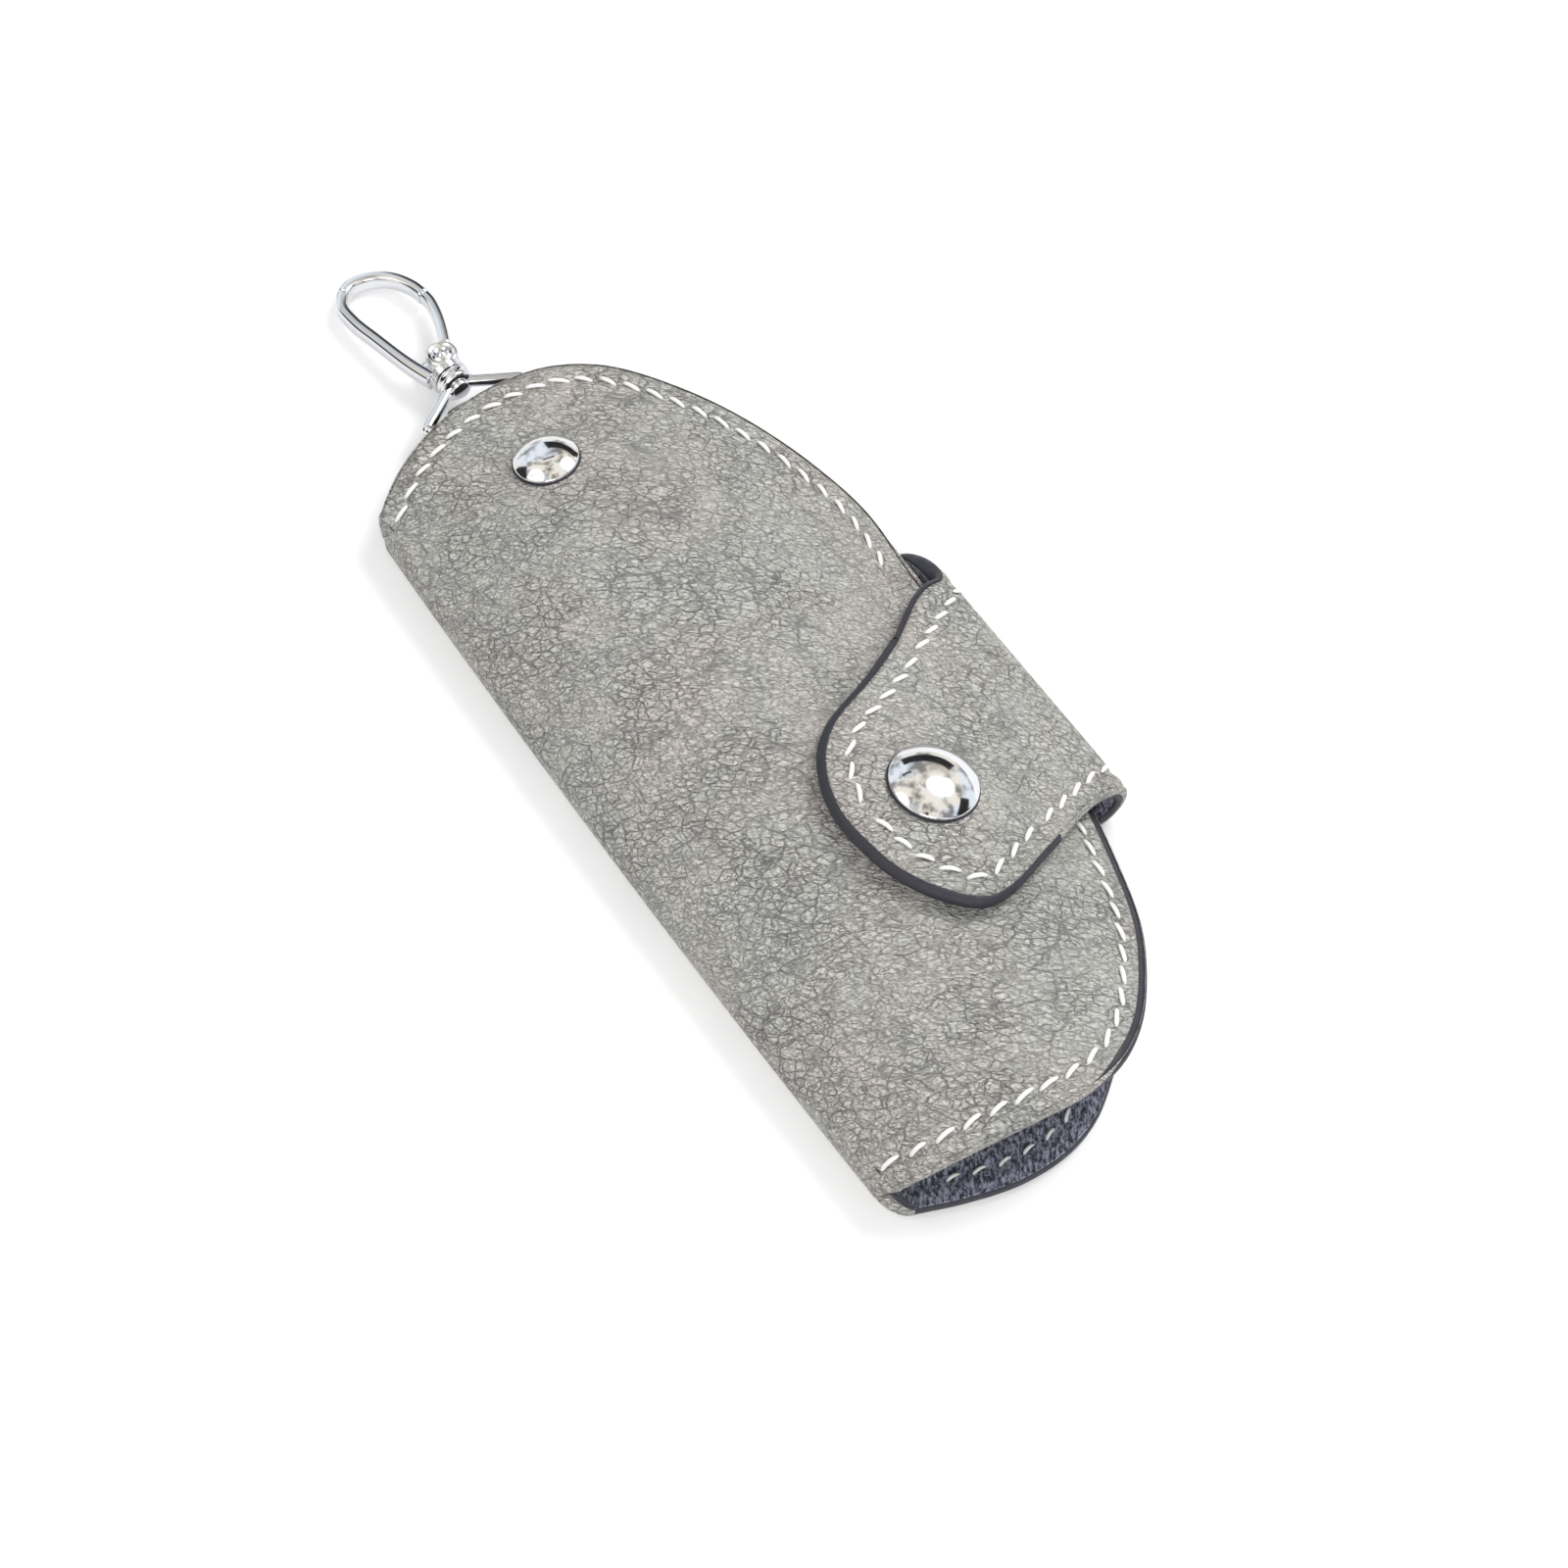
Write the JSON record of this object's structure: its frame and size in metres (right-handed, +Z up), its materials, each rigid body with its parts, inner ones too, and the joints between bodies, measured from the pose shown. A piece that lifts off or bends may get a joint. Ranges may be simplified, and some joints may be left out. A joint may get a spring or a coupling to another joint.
{
  "type": "key case",
  "caption": "Folded half-moon leather key pouch with a snapped closing strap, a riveted key band with a split ring, and a swivel clasp with a sprung gate.",
  "frame": {"origin": "on the resting face of the back panel, midway along the fold and in the middle of the closed front's width", "axes": "+X from the fold to the open edge, +Y along the fold towards the clasp, +Z up out of the front"},
  "size_m": [0.061, 0.172, 0.02],
  "materials": {
    "leather": "matt, fine grain, mottled warm grey",
    "lining": "navy suede",
    "thread": "white waxed thread",
    "metal": "polished",
    "band": "black, smooth"
  },
  "bodies": {
    "back": {"back_leather": "leather", "back_lining": "lining", "back_stitching": "thread", "spine_leather": "leather", "spine_lining": "lining", "strap_bend_leather": "leather", "strap_bend_lining": "lining"},
    "cover": {"front_leather": "leather", "front_lining": "lining", "front_stitching": "thread", "snap_stud": "metal", "snap_post": "metal", "rivet_cap": "metal", "rivet_tail": "metal"},
    "strap": {"strap_leather": "leather", "strap_lining": "lining", "strap_stitching": "thread", "snap_cap": "metal", "snap_socket": "metal"},
    "key_band": {"key_band": "band"},
    "key_ring": {"key_ring": "metal"},
    "bail": {"bail": "metal"},
    "clasp": {"swivel_post": "metal", "clasp_body": "metal", "gate_pin": "metal", "gate_spring": "metal"},
    "gate": {"clasp_gate": "metal"}
  },
  "joints": [
    {"name": "cover_open", "type": "hinge", "parent": "back", "child": "cover", "pos_m": [-0.0254, 0, 0.004], "axis": [0, -1, 0], "range_deg": [0, 38], "deforming": ["spine_leather", "spine_lining"]},
    {"name": "strap_open", "type": "hinge", "parent": "back", "child": "strap", "pos_m": [0.02714, 0, 0.0045], "axis": [0, 1, 0], "range_deg": [0, 150], "deforming": ["strap_bend_leather", "strap_bend_lining"]},
    {"name": "key_band_swing", "type": "hinge", "parent": "cover", "child": "key_band", "pos_m": [-0.00606, 0.05354, 0.01262], "axis": [-0.0036, 0.2051, 0.9787], "range_deg": [-8, 8]},
    {"name": "key_ring_turn", "type": "hinge", "parent": "key_band", "child": "key_ring", "pos_m": [-0.00525, 0.0226, 0.00616], "axis": [0.005, -0.1912, 0.9815], "continuous": true},
    {"name": "bail_swing", "type": "hinge", "parent": "key_band", "child": "bail", "pos_m": [-0.00654, 0.07169, 0.00463], "axis": [0.9997, 0.0262, 0], "range_deg": [-20, 60]},
    {"name": "clasp_swivel", "type": "hinge", "parent": "bail", "child": "clasp", "pos_m": [-0.00671, 0.07806, 0.004], "axis": [-0.0261, 0.9949, -0.0976], "continuous": true},
    {"name": "gate_open", "type": "hinge", "parent": "clasp", "child": "gate", "pos_m": [-0.00591, 0.08286, 0.00353], "axis": [-0.0026, 0.0975, 0.9952], "range_deg": [0, 22], "stiffness_Nm_per_rad": 0.004, "springref_deg": -20.05}
  ],
  "couplings": [
    {"joint": "strap_open", "follows": "cover_open", "ratio": 3.9}
  ]
}
